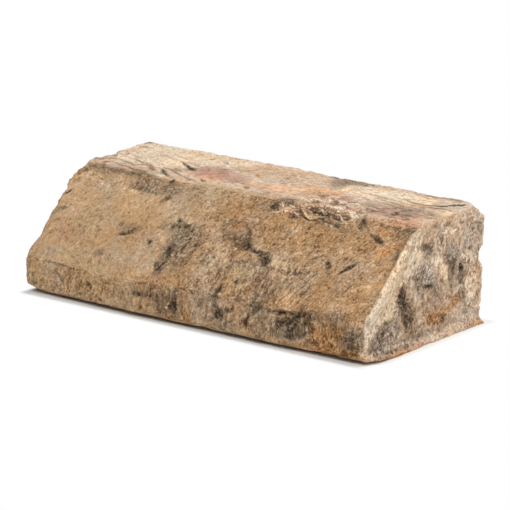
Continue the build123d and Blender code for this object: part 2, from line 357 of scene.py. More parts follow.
PEACH = {
    "top": (
        (8, 14, 13, 8, 1), (20, 21, 9, 5, 0.85), (33, 22.5, 6, 3.2, -10, 1), (100, -3, 9, 4, 1),
        (84, 2.5, 12, 2.6, 0.7), (97, 13, 4.4, 8, 0.8), (-12, 12, 10, 6, 0.5), (-35, 10, 8, 4, -10, 0.8),
        (-88, 28, 8, 3, -20, 0.35), (67, 6, 4, 2.4, 0.6),
    ),
    "slope": ((97, 60, 11, 1.5, 1, 1), (76, 60.5, 8, 1.4, 0.7), (-22, 4, 12, 4, 0.4), (58, 6, 8, 5, 0.3)),
    "end": ((-2, 59.5, 9, 1.2, 0.7), (-16, -1, 10, 1.4, 0.5)),
    "back": ((-30, 58, 22, 2.4, 0.7), (60, 57, 16, 2, 0.5), (-95, 12, 8, 7, 0.5)),
    "lip": ((100, 20, 6, 1.4, 0.8),),
}
# Pale clay, with painted light in places: the flash's facet and its band on the right-hand end are painted
# paler for the light that they catch, and the thin strokes at -12.5 and -14 across, 45 to 50 up that end,
# paint the glint along a ridge.
PALE_AND_HIGHLIGHTS = {
    "top": (
        (-86, 30, 30, 20, 1), (-60, 42, 30, 9, 0.8), (52, 33, 20, 10, 0.8), (70, 38, 16, 8, 0.6),
        (50, 1, 5, 3, 0.6), (100, 22, 5, 6, -50, 0.5),
    ),
    "slope": (
        (56, 52.2, 9, 0.9, -18, 0.6), (40, 58, 12, 3, 0.6), (20, 8, 3, 7, 0.15), (6, 10, 4, 10, 0.15),
        (58, 1.2, 8, 1, 2, 0.25), (-80, 52, 20, 5, 0.25), (-55, 12, 16, 8, 0.2), (90, 33, 14, 8, 0.2),
        (45, 44, 12, 5, 0.2),
    ),
    "flash": ((18, 4, 26, 12, 1), (46, 2, 10, 3, 0.6)),
    "end": (
        (-24, 36, 24, 6, 43, 0.9), (-31, 20, 8, 4.5, 0.8), (-12.5, 45, 1.4, 6, 5, 1),
        (-14, 50, 5, 4, 45, 0.8), (14, 35, 8, 3.2, -42, 0.8), (-4, 43, 8, 4, -10, 0.7),
        (40, 20, 5, 14, 0.55), (36, 36, 8, 2, -5, 0.6), (33, 6, 8, 3, 0.4), (20, 52, 14, 4, 0.3),
        (-25, 34, 5, 3, 45, 0.8), (-9, 28, 2, 7, 15, 0.5),
    ),
    "lip": ((104, 5, 3.4, 2.2, 0.6), (68, 6, 2.4, 3, 0.4)),
    "back": ((-24, 38, 20, 5, 6, 0.45), (40, 46, 24, 4, 0.45), (88, 32, 14, 6, 0.4), (-98, 34, 9, 8, 0.45)),
    "left": ((-6, 20, 8, 6, 0.6), (20, 54, 18, 3, 0.6)),
}

# The same strokes with a depth in millimetres in place of the strength: a positive one stands out
RELIEF = {
    "slope": (
        (94, 57.4, 13, 1.5, -1, -1.5), (97, 61.5, 12, 2, 0.8), (87, 48.5, 5.5, 1.1, -27, -1),
        (80.5, 29.2, 5, 1.2, 52, -0.7), (69, 28.5, 2, 2.6, 30, -0.6), (54, 56.2, 8, 2.8, -24, -2.2),
        (44, 53.6, 5.5, 1.1, -3, -1.5), (35, 53, 3.6, 1.4, -20, -0.9), (26, 14, 1.6, 7, -12, -0.5),
        (-26, 14, 1.6, 7, -12, -0.7), (-55, 27.6, 6, 1.4, 22, -0.7), (-39, 24, 1.2, 1.2, -0.8),
        (105.3, 40, 1.2, 20, 4, -0.7), (-45, 50.5, 3, 1.2, 50, -0.6), (-62, 53.6, 8, 1, -3, -0.5),
        (-59, 57.5, 9, 3.2, 0.4), (66, 1, 8, 1, 2, -1), (15, 5, 2, 5, -0.7), (28, 28.6, 5, 1.1, -12, -0.9),
        (34, 25, 3.4, 1.6, -30, -0.8), (19, 31, 4, 1.4, -15, -0.9), (17, 36, 1.4, 5, 32, -0.8),
        (54, 21, 5, 1.2, 12, -0.7), (14.5, 20, 1.6, 10, -0.6), (22, 40, 8, 10, 0.5),
        (40, 33, 14, 5, -10, 0.5), (6, 16, 3.5, 16, 0.45), (20, 10, 2.5, 9, 0.45), (35, 12, 8, 8, -0.4),
        (58, 8, 8, 6, 0.45), (-29, 38, 5, 1, -60, -0.7), (-33, 34, 5, 1.3, 15, -0.6),
        (-88, 1.6, 14, 0.9, -2, -0.7), (-107, 44, 2.8, 1, 50, -1), (-104, 34, 2.2, 1.1, -0.7),
        (-107, 57, 9, 7, 20, 1.6), (30, 58.5, 8, 1, -12, 0.7), (45, 57.5, 8, 1.2, 4, 0.6),
        (36, 57, 7, 0.9, -30, -0.9), (44, 59.2, 8, 0.9, -16, -1), (30, 62, 6, 0.8, -5, -0.8),
    ),
    "lip": (
        (-67.5, 11, 2, 1.6, -1.8), (-35, 12.5, 3.4, 1.4, -5, -1), (-87, 12, 3.6, 0.9, -42, -0.8),
        (-12, 12, 1.8, 4.5, -12, -1.4), (17, 12, 3.8, 3.6, -1.4), (23.5, 14, 5, 1.2, 15, -1),
        (35.5, 10.5, 1.4, 3.6, -20, -1.3), (38, 16, 2.6, 2.4, 30, -0.9), (57, 15, 2.6, 3.4, -1.6),
        (62, 9.5, 4, 4.6, -1.8), (66, 16.4, 6, 2.2, 10, -1.8), (60, 18.2, 11, 1.2, 2, -1.6),
        (75.5, 6.5, 2.6, 1.6, 30, -1.2), (71.5, 3, 1.3, 1.2, -0.8), (84, 10, 8, 5, 0.8),
        (99, 12, 3.4, 4, -0.5), (48, 8, 4, 4, 0.6), (10, 10, 1, 6, -0.6), (30, 12, 2.4, 9, 0.3),
        (-22, 9, 2, 6, 20, -0.6), (-59, 3.6, 1.4, 1.4, -0.9),
    ),
    "end": (
        (-17, 23, 3.2, 9, 24, -0.9), (31, 32, 1.5, 2.2, -1.8), (4, 28.3, 4, 1, -1), (-1, 36, 8, 5, -35, 0.6),
        (-33, 11, 12.5, 7, 6, 0.7), (16, 8.5, 2.8, 1.8, 35, -0.9), (24, 41, 5, 4, -0.6),
        (14, 20, 14, 4, -20, 0.5), (-30, 3, 8, 1, 3, -1.2), (-17, 2.6, 5, 1, -1), (-23, 0.6, 9, 1.2, 0.5),
        (-1, 49, 4, 1.6, -0.7), (48, 20, 3, 16, -0.6), (46, 54, 8, 6, 1),
    ),
    "top": (
        (98, 44, 8, 8, 0.8), (-61, 22, 9, 1.2, -33, -1.6), (-54.5, 18, 3.8, 1.6, -28, -1.6),
        (95, 38, 7, 1.3, 50, -1.4), (100, -3, 9, 4, 0.7), (-62, 4.5, 7, 1.2, -38, -0.8),
        (-48, -7, 5, 1.4, -68, -0.9), (-36, 5, 3, 1.6, -35, -0.8), (45, 10, 3.4, 1.6, -40, -1.2),
        (51, 10, 2, 3, -1), (81.5, 8.5, 2, 3.4, 20, -1), (31, 15, 2.2, 1.5, -0.9), (36, 4, 2.2, 2.8, -0.8),
        (62, -4, 3.2, 1.6, -50, -1.2), (-104, 3, 6, 6, 3.2), (-107, 21, 6, 7, -2),
        (-92, -4, 9, 3, -12, -0.6), (48, 0, 8, 2, 20, 0.8), (40, 8, 2, 6, 40, 0.7), (60, 10, 5, 2, -20, 0.6),
    ),
    "back": (
        (-78, 19, 6, 1.4, 12, -1), (-36, 47, 5, 1.2, -10, -1), (30, 39, 5, 1, 16, -1),
        (66, 18, 6, 1.6, -8, -1.1), (-28, 30, 4, 0.8, 25, -0.9), (-50, 40, 24, 8, -6, 0.7),
        (60, 26, 22, 8, -8, -0.6), (10, 24, 20, 8, 10, 0.6),
    ),
    "left": (
        (-34, 7, 2.4, 3.4, -1), (11, 27, 2.4, 4.4, 20, -1.2), (33, 44, 3.4, 1.2, -35, -1.2),
        (22, 8, 1.6, 2.2, -1), (-10, 20, 14, 8, 10, 0.7), (30, 30, 8, 12, -0.6),
    ),
}

# Pale strands of broken clay that lie over the dark marks
STRANDS = {
    "slope": (
        (26, 58.5, 7, 0.7, -24, 1), (31, 60.5, 8, 0.6, -10, 1), (29, 56, 5, 0.6, -40, 0.9),
        (37, 61.5, 8, 0.7, -28, 1), (41, 58.5, 7, 0.6, -8, 0.9), (47, 61, 7, 0.7, -34, 1),
        (50, 57.5, 5, 0.6, -15, 0.8), (56, 60.5, 7, 0.7, -38, 1), (34, 54.8, 6, 0.6, -16, 0.8),
        (61, 57, 6, 0.7, -44, 0.9), (24, 54, 4, 0.6, 20, 0.7), (66, 60, 6, 0.6, -30, 0.8),
        (44, 55.6, 5, 0.5, -50, 0.8), (22, 60.5, 5, 0.6, 14, 0.9),
    ),
    "top": (
        (38, -4, 8, 0.7, -20, 0.9), (48, -1, 8, 0.7, -10, 0.9), (56, 0, 7, 0.7, -30, 0.9),
        (30, 2, 7, 0.7, 15, 0.8), (44, 5, 9, 0.6, -14, 0.7), (66, -2, 8, 0.7, -22, 0.8),
        (-90, 2, 8, 0.7, -18, 0.8), (-78, -2, 8, 0.6, -14, 0.8), (-70, 8, 8, 0.6, -30, 0.7),
    ),
    "end": (
        (-14, 30, 0.6, 7, -20, 0.7), (4, 20, 8, 0.6, 25, 0.6), (-30, 13, 7, 0.5, 30, 0.6),
        (24, 44, 0.6, 6, 12, 0.7), (2, 38, 6, 0.6, -40, 0.7), (34, 30, 0.6, 6, -10, 0.6),
    ),
    "lip": (
        (52, 13, 0.6, 4, 10, 0.8), (-14, 11, 0.5, 4, -12, 0.8), (12, 12, 0.6, 5, 8, 0.7),
        (28, 12, 0.6, 5, -10, 0.7),
    ),
}

# Smudges at least this strong are black in their middle: black clay, and the darkest painted shadow in the
# hollows and under the overhangs
DARKEST = 0.95
SOOT_AND_SHADOW = {face: [line for line in lines if line[-1] >= DARKEST] for face, lines in SMUDGES_AND_SHADOWS.items()}
MARKS = dict(pale_and_highlight=PALE_AND_HIGHLIGHTS, peach=PEACH, mauve=MAUVE, rose=ROSE, rust=RUST)
MARKS.update(smudge=SMUDGES_AND_SHADOWS, soot=SOOT_AND_SHADOW, strand=STRANDS)

# A stroke's flat middle, steep edge, and the share of the noise that it strays with: wide ones stray more
FLATNESS = 1.2
STEEPNESS = 0.8
LEAST_STRAY = 0.12
STRAY_AREA = 6.0

# Where the dark, the body and the bright shades stand along the grain: the body's is a stretch
GRAIN_SPAN = (0.20, 0.46, 0.56, 0.82)

# Each kind of clay surface: its shade in the grain, in the body and in the bright flecks
PALETTES = {
    "tan": ((126, 96, 66), (189, 157, 120), (224, 198, 163)),
    "brown": ((104, 74, 46), (168, 134, 98), (210, 178, 138)),
    "top": ((144, 116, 94), (203, 179, 157), (238, 222, 204)),
    "end": ((116, 94, 78), (196, 170, 146), (232, 212, 191)),
    "pale_and_highlight": ((178, 151, 124), (232, 210, 184), (247, 234, 215)),
    "peach": ((174, 122, 90), (222, 177, 143), (243, 214, 186)),
    "rose": ((124, 88, 76), (182, 142, 124), (220, 190, 172)),
    "mauve": ((90, 79, 71), (158, 142, 128), (210, 194, 178)),
    "rust": ((98, 66, 38), (175, 127, 80), (212, 168, 120)),
    "smudge": ((81, 67, 54), (141, 121, 101), (198, 173, 143)),
    "soot": ((24, 18, 14), (56, 45, 35), (112, 92, 72)),
    "strand": ((140, 122, 106), (194, 174, 155), (228, 212, 194)),
}
FLECK = (96, 74, 54)

# How far the clay's hue strays to either side
WARM = (1.06, 0.99, 0.90, 1.0)
COOL = (0.98, 1.01, 1.03, 1.0)

# Noises of the paint: read in plain space or along the drag, the width of the lumps, the number of
# layers, the strength of the finer ones, and the twist
PAINT_NOISES = {
    "broad": ("space", 22, 3.0, 0.55, 0.0),
    "patch": ("space", 13, 4.0, 0.6, 0.6),
    "mottle": ("space", 3.0, 3.0, 0.65, 0.6),
    "sand": ("space", 1.0, 1.5, 0.7, 0.0),
    "hue": ("space", 18, 3.0, 0.55, 0.0),
    "fibre": ("drag", 1.2, 3.0, 0.65, 0.3),
    "fleck": ("drag", 1.1, 1.0, 0.55, 0.0),
    "streak": ("drag", 2.4, 2.0, 0.55, 0.2),
    "wrinkle": ("drag", 2.6, 3.0, 0.6, 0.8),
}

# How much each noise counts in the grain, the marks' outlines, the clumps of the black soot and painted
# shadow, and the bump
IN_GRAIN = {"patch": 0.9, "mottle": 0.5, "fibre": 1.2, "sand": 1.0}
IN_OUTLINE = {"patch": 0.5, "mottle": 0.9, "fibre": 1.2, "sand": 0.9}
IN_CLUMPS = {"mottle": 1.1, "fibre": 0.6, "sand": 0.3}
IN_BUMP = {"mottle": 0.8, "fibre": 0.5, "sand": 0.7}
BUMP = 0.7

# The floor: half its side in metres, its grey, and how many millimetres off the brick it turns to white
FLOOR = 6.0
FLOOR_GREY = (0.78, 0.78, 0.78, 1.0)
FLOOR_FADE = 4.5
WHITE = (1.0, 1.0, 1.0, 1.0)

# The light from all round
SKY = (0.96, 0.98, 1.0, 1.0)
SKY_STRENGTH = 0.26

# Square lamps, in metres and watts: place, power and colour. All have the same side and aim.
LAMPS = {
    "overhead": ((0.35, 0.35, 1.3), 11.8, (1.0, 0.985, 0.96)),
    "right_side": ((1.15, -0.45, 0.95), 10.8, (1.0, 0.98, 0.95)),
    "front_side": ((-0.3, -0.95, 1.2), 6.5, (1.0, 0.98, 0.95)),
}
LAMP_SIDE = 0.7
LAMP_AIM = Vector((0, 0, 0.03))

# The photograph's view, in degrees and metres, with the point in the middle of the picture
AZIMUTH = 37.97
ELEVATION = 15.05
DISTANCE = 1.5226
TARGET = Vector((0.0004, 0.0007, 0.0272))

# Its long lens: the focal length and the frame's side in pixels, and the sensor's side in millimetres
FOCAL_PIXELS = 3000.0
FRAME_PIXELS = 510.0
SENSOR = 36.0
NEAREST = 0.05
FARTHEST = 20.0


def smooth(low, high, value):
    """0 below low, 1 above high, and an even ease between."""
    part = np.clip((value - low) / (high - low), 0, 1)
    return part * part * (3 - 2 * part)


def between(stretch, value):
    """1 in the middle of a stretch of four places, and 0 outside it."""
    start, full, fades, gone = stretch
    return smooth(start, full, value) * smooth(gone, fades, value)


def noise(points, cell, seed):
    """Smooth gradient noise from about -1 to 1, with lumps one cell across."""
    size = 256
    gain = 1.6
    random = np.random.default_rng(seed)
    gradients = random.normal(size=(size, 3))
    gradients /= np.linalg.norm(gradients, axis=1, keepdims=True)
    order = random.permutation(size)
    place = points / cell
    low = np.floor(place).astype(int)
    part = place - low
    ease = part**3 * (part * (part * 6 - 15) + 10)
    total = np.zeros(len(points))
    for corner in itertools.product((0, 1), repeat=3):
        node = (low + corner) % size
        key = order[(order[(order[node[:, 0]] + node[:, 1]) % size] + node[:, 2]) % size]
        reach = ((part - corner) * gradients[key]).sum(axis=1)
        total += reach * np.prod(np.where(corner, ease, 1 - ease), axis=1)
    return total * gain


def layered(points, name):
    """One of the named noises, where each layer is half as wide and half as strong as the last."""
    reach, cell, seed, layers = NOISES[name]
    total = np.zeros(len(points))
    for layer in range(layers):
        total += noise(points, cell / 2**layer, seed + layer) * 0.5**layer
    return reach * total


def off_line(points, name):
    """0 on thin wandering lines, and up to 1 away from them."""
    return np.abs(np.clip(layered(points, name), -1, 1))


def wander(points):
    """A small wandering offset for every point, the same each run."""
    return np.stack([noise(points, cell=7, seed=seed) for seed in (15, 16, 17)], axis=1)


def drawn_out(points, way, ratio):
    """The points squeezed along one way, so that noise read there is drawn out along it."""
    way = np.array(way, float)
    way /= np.linalg.norm(way)
    return points + np.outer((points @ way) * (1 / ratio - 1), way)


def new_object(name, data):
    """A new object in the scene."""
    thing = bpy.data.objects.new(name, data)
    bpy.context.collection.objects.link(thing)
    return thing


def dense_copy(node, name):
    """A new object with the node's shape in even quads one voxel across."""
    piece = new_object(name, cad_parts[node].data.copy())
    weld = piece.modifiers.new("weld", "WELD")
    weld.merge_threshold = 0.01 * MM
    remesh = piece.modifiers.new("remesh", "REMESH")
    remesh.mode = "VOXEL"
    remesh.voxel_size = VOXEL * MM
    bpy.context.view_layer.update()
    mesh = bpy.data.meshes.new_from_object(piece.evaluated_get(bpy.context.evaluated_depsgraph_get()))
    piece.modifiers.clear()
    piece.data = mesh
    mesh.materials.clear()
    return piece


def rows(items, key, width, kind):
    """One property of all of a mesh's points or edges, a row for each."""
    values = np.empty(len(items) * width, kind)
    items.foreach_get(key, values)
    return values.reshape(-1, width)


def read(mesh):
    """The mesh's points in millimetres, its normals and its edges."""
    points = rows(mesh.vertices, "co", 3, np.float32).astype(float)
    normals = rows(mesh.vertices, "normal", 3, np.float32).astype(float)
    return points / MM, normals, rows(mesh.edges, "vertices", 2, np.int32)


def spread(values, edges, rounds):
    """Values averaged with their neighbours' a number of times."""
    size = len(values)
    starts, ends = edges.T
    count = np.bincount(edges.ravel(), minlength=size) + 1.0
    columns = values.reshape(size, -1)
    for _ in range(rounds):
        totals = []
        for column in columns.T:
            gained = np.bincount(starts, column[ends], size) + np.bincount(ends, column[starts], size)
            totals.append((column + gained) / count)
        columns = np.stack(totals, axis=1)
    return columns.reshape(values.shape)


def face_places(points, normals):
    """For each face: how much each point belongs to it, and the point's place across and up it."""
    x, y, z = points.T
    share = (x - LEFT) / LENGTH
    lip = LIP - LIP_FALL * (1 - share)
    face_y = FRONT + BOW * (2 * share - 1) ** 2
    run = FRONT + RUN + RUN_GAIN * (1 - share) - face_y
    rise = TOP - lip
    slant = np.hypot(run, rise)
    up_slope = ((y - face_y) * run + (z - lip) * rise) / slant
    drop = ((y - face_y) * rise - (z - lip) * run) / slant
    sloping = (-normals[:, 1] * rise + normals[:, 2] * run) / slant
    flash = smooth(*FLASH_OUT, x - END) * smooth(*FLASH_UP, z) * between(FLASH_UNDER, drop)
    return {
        "slope": (smooth(*FACING["slope"], sloping) * (1 - flash), x, up_slope),
        "top": (smooth(*FACING["top"], normals[:, 2]), x, y),
        "lip": (smooth(*FACING["lip"], -normals[:, 1]), x, z),
        "end": (smooth(*FACING["end"], normals[:, 0]) * (1 - flash), y, z),
        "flash": (flash, up_slope, drop),
        "back": (smooth(*FACING["back"], normals[:, 1]), x, z),
        "left": (smooth(*FACING["left"], -normals[:, 0]), y, z),
    }


def find_parts(points, places):
    """How much each point belongs to each face, and to the parts of a face that were worked apart."""
    x, y, _ = points.T
    up_slope = places["slope"][2]
    parts = {face: places[face][0] for face in ("slope", "top", "lip", "end", "flash")}
    parts["rest"] = np.clip(1 - parts["slope"] - parts["top"] - parts["lip"] - parts["end"], 0, 1)
    parts["combed"] = between(COMBED, x) * smooth(*COMBED_UP, up_slope)
    parts["streaked"] = smooth(*TOP_STREAKS, x)
    parts["crumbled"] = between(CRUMBLED, x) * smooth(*CRUMBLED_UP, up_slope) * smooth(*CRUMBLED_BACK, y)
    return parts


def stroke(across, up, shift, centre_u, centre_v, half_long, half_wide, lean=0):
    """One soft oval mark, 1 at its middle."""
    turn = math.radians(lean)
    stray = min(1.0, half_wide**2 / STRAY_AREA + LEAST_STRAY)
    du = across - centre_u + shift[:, 0] * stray
    dv = up - centre_v + shift[:, 1] * stray
    along = (du * math.cos(turn) + dv * math.sin(turn)) / half_long
    aside = (-du * math.sin(turn) + dv * math.cos(turn)) / half_wide
    return np.exp(-((along**2 + aside**2) ** FLATNESS) * STEEPNESS)


def strokes(marks, places, shift):
    """The marks of every face together, from 0 to 1; shift is how far each point strays."""
    clear = np.ones(len(shift))
    for face, lines in marks.items():
        weight, across, up = places[face]
        for *outline, strength in lines:
            clear *= 1 - np.clip(strength * weight * stroke(across, up, shift, *outline), 0, 1)
    return 1 - clear


def relief_strokes(places, shift, broken):
    """How far the marks that have a depth stand out; broken is each point's share of it."""
    total = np.zeros(len(shift))
    for face, lines in RELIEF.items():
        weight, across, up = places[face]
        for *outline, depth in lines:
            total += depth * weight * broken * stroke(across, up, shift, *outline)
    return total


def dragged(points, parts):
    """Coordinates in which noise runs the way the clay was dragged on each face."""
    slope, top, combed, streaked = (parts[name] for name in ("slope", "top", "combed", "streaked"))
    whole = 1 - parts["crumbled"]
    runs = {
        "slope": slope * (1 - combed) * whole,
        "ribs": slope * combed,
        "top": top * (1 - streaked) * whole,
        "streaks": top * streaked * whole,
        "strands": 2 * parts["crumbled"],
        "lip": parts["lip"],
        "end": parts["end"],
        "rest": parts["rest"],
    }
    swirled = points + SWIRL * wander(points)
    grain = sum(drawn_out(swirled, *DRAGS[run]) * weight[:, None] for run, weight in runs.items())
    return grain / np.maximum(sum(runs.values()), 0.01)[:, None]


def surface_relief(points, grain, parts, fields):
    """How far the clay's own roughness stands out of the plain form."""
    x = points[:, 0]
    lip, end, crumbled = parts["lip"], parts["end"], parts["crumbled"]

    # Unevenness of the whole lump, then the crumbs and fibres of each face
    relief = layered(points, "lump") + layered(points, "swelling")
    fibre = layered(grain, "fibre")
    crumb = layered(points, "crumb")
    stronger = {"slope": 0.6 + 0.5 * parts["combed"] + 0.3 * smooth(*SLOPE_ROUGHER, x)}
    for face, (crumb_depth, fibre_depth) in TEXTURE.items():
        relief += parts[face] * (crumb_depth * crumb + fibre_depth * fibre) * stronger.get(face, 1)

    # Creases and pits, thick on the lip and the end and thin on the slope
    crease = (1 - off_line(grain + 2 * wander(points), "crease")) ** 8
    crease *= smooth(-0.2, 0.5, layered(points, "crease_zone"))
    pit = smooth(0.42, 0.85, layered(points, "pit"))
    relief -= (CREASE + MORE_CREASE * (lip + end)) * crease + PIT * pit * (0.4 + lip + 0.8 * end)

    # The upper arris is broken into crumbs and splinters where it crumbled
    relief += crumbled * (layered(points, "crumble") + layered(grain, "splinter"))

    # Torn clay inside the grey marks, and the strands that lie over it
    torn = TEAR * (1 - 2 * off_line(grain, "tear")) - TEAR_SINK
    return relief + fields["smudge"] * (1 - crumbled) * torn + STRAND * fields["strand"]


def bend(points, moved):
    """Hollows the bed under the front foot, bulges the left-hand end and crowns the top."""
    x, y, z = points.T
    along = points * (1, 0, 0)
    hollowed = smooth(*HOLLOW_IN, y - FRONT) * smooth(*HOLLOW_UP, z)
    moved[:, 2] += hollowed * (HOLLOW + layered(along, "foot"))

    bulge = FOOT_BULGE * smooth(*FOOT_BULGE_UP, z) + HEAD_BULGE * smooth(*HEAD_BULGE_UP, z)
    moved[:, 0] -= (bulge + layered(points, "left")) * smooth(*BULGE_IN, x - LEFT)

    # The struck top rises towards its back edge, most at the left
    crown = TOP_RISE + SWELL * between(SWELL_AT, x) - TOP_TILT * x / RIGHT + layered(along, "top")
    moved[:, 2] += crown * smooth(FRONT + RUN, BACK, y) * smooth(RISE_START * TOP, TOP, z)
    over = np.maximum(moved[:, 2] - TOP, 0)
    moved[:, 2] += MOST_CROWN * np.tanh(over / MOST_CROWN) - over
    moved[:, 2] = np.maximum(moved[:, 2], BOTTOM)
    return moved


def paint_fields(points, parts):
    """What the paint needs of each point: how its clay browns, streaks and follows the grain."""
    x, y, _ = points.T
    slope, lip, combed = parts["slope"], parts["lip"], parts["combed"]
    rough = slope * (0.3 * smooth(*SLOPE_STRONGER, x) + 0.15 * combed)
    for part, amount in CONTRAST.items():
        rough += amount * parts[part]
    browner = smooth(*BROWNER, x + layered(points, "browning"))

    # The top's colour starts at the arris, and a little behind it in the middle of the brick
    arris_y = FRONT + RUN + RUN_GAIN * (END - x) / LENGTH + TOP_EDGE_BACK * between(TOP_EDGE_AT, x)
    past_arris = y - arris_y + layered(points, "top_edge")
    return {
        "rough": rough,
        "brown": (slope + lip) * browner * (1 - 0.55 * combed),
        "streaky": slope * combed + lip * between(LIP_STREAKS, x),
        "top": parts["top"] * smooth(*TOP_EDGE, past_arris),
        "end": parts["end"],
    }


def shape_brick(mesh):
    """Warps and roughens the fine mesh, and gives the marks, grain and cavities that the paint needs."""
    points, normals, edges = read(mesh)
    soft = spread(normals, edges, rounds=3)
    soft /= np.linalg.norm(soft, axis=1, keepdims=True)
    keen = np.clip((1 - np.linalg.norm(spread(normals, edges, rounds=6), axis=1)) / KEEN, 0, 1)
    places = face_places(points, soft)
    parts = find_parts(points, places)
    shift = np.stack([
        1.6 * noise(points, cell=8, seed=seed) + 0.7 * noise(points, cell=2.6, seed=seed + 1)
        for seed in (11, 13)
    ], axis=1)
    fields = {name: strokes(marks, places, shift) for name, marks in MARKS.items()}
    grain = dragged(points, parts)
    relief = surface_relief(points, grain, parts, fields)

    # Worn arrises, and the marks that have a depth
    relief -= keen * (WEAR + BITE * smooth(0, 0.8, layered(points, "nibble")))
    broken = np.clip(0.6 + layered(points, "depth"), 0, 1.2)
    relief += relief_strokes(places, shift, broken)

    # The under face only loses clay, so that the brick still lies flat
    under = smooth(*FACING["under"], -soft[:, 2])
    relief = relief * (1 - under) - under * BED_LOSS * smooth(0.1, 0.8, layered(points, "bed"))
    moved = bend(points, points + soft * relief[:, None])
    mesh.vertices.foreach_set("co", (moved * MM).astype(np.float32).ravel())
    mesh.update()

    # A point is in a cavity where the points round it stand higher
    hollow = spread(moved, edges, rounds=4) - moved
    cavity = np.clip((hollow * soft).sum(axis=1) / DEEP, -1, 1)
    return fields | paint_fields(points, parts) | {"grain": grain, "cavity": cavity}


def store(mesh, name, values):
    """Keeps one number or one vector for each point of the mesh."""
    kind = "FLOAT" if values.ndim == 1 else "FLOAT_VECTOR"
    layer = mesh.attributes.new(name, kind, "POINT")
    layer.data.foreach_set("value" if kind == "FLOAT" else "vector", values.astype(np.float32).ravel())


def srgb(*levels):
    """A colour given as 0 to 255 levels, as the linear colour that Blender's sockets take."""
    parts = np.array(levels) / 255
    return (*np.where(parts <= 0.04045, parts / 12.92, ((parts + 0.055) / 1.055) ** 2.4), 1.0)


class Nodes:
    """A few short ways to add nodes to one node tree."""

    def __init__(self, tree):
        self.tree = tree

    def put(self, socket, value):
        """Links another node's output to the socket, or sets the socket to a constant."""
        if isinstance(value, bpy.types.NodeSocket):
            self.tree.links.new(value, socket)
        else:
            socket.default_value = value

    def add(self, kind, *values, **settings):
        """A new node with the values in its first sockets."""
        node = self.tree.nodes.new(kind)
        for key, value in settings.items():
            setattr(node, key, value)
        for socket, value in zip(node.inputs, values):
            self.put(socket, value)
        return node

    def fill(self, node, **values):
        """Puts the values into the named sockets, whose names have _ for their spaces."""
        for key, value in values.items():
            self.put(node.inputs[key.replace("_", " ")], value)
        return node

    def attribute(self, name, output="Fac"):
        return self.add("ShaderNodeAttribute", attribute_name=name).outputs[output]

    def noise(self, place, scale, detail, roughness, distortion):
        node = self.add("ShaderNodeTexNoise")
        self.fill(node, Vector=place, Scale=scale, Detail=detail, Roughness=roughness, Distortion=distortion)
        return node.outputs["Fac"]

    def span(self, value, low, high, to_low=0.0, to_high=1.0):
        """The value eased from one range into another, and held at its ends."""
        values = (value, low, high, to_low, to_high)
        return self.add("ShaderNodeMapRange", *values, interpolation_type="SMOOTHSTEP").outputs["Result"]

    def math(self, operation, *values):
        return self.add("ShaderNodeMath", *values, operation=operation).outputs["Value"]

    def weigh(self, signals, weights, start):
        """The signals added to a start, each as much as its weight says."""
        total = start
        for name, weight in weights.items():
            total = self.math("MULTIPLY_ADD", signals[name], weight, total)
        return total

    def ramp(self, value, colours):
        """The colours in turn as the value runs over the grain's span."""
        dark, middle, bright = colours
        node = self.add("ShaderNodeValToRGB", value)
        stops = node.color_ramp.elements
        for place in GRAIN_SPAN[1:-1]:
            stops.new(place)
        for stop, place, colour in zip(stops, GRAIN_SPAN, (dark, middle, middle, bright)):
            stop.position = place
            stop.color = srgb(*colour)
        return node.outputs["Color"]

    def mix(self, amount, first, second, blend="MIX"):
        """Two colours mixed: a colour mix has its colours in the sockets 6 and 7."""
        node = self.add("ShaderNodeMix", amount, data_type="RGBA", blend_type=blend)
        self.put(node.inputs[6], first)
        self.put(node.inputs[7], second)
        return node.outputs[2]

    def choose(self, share, first, second):
        """Two shaders mixed, with all of the second where the share is 1."""
        return self.add("ShaderNodeMixShader", share, first, second).outputs["Shader"]


def new_material(name):
    """A material with its default nodes, and the short ways to add to them."""
    material = bpy.data.materials.new(name)
    material.use_nodes = True
    return material, Nodes(material.node_tree)


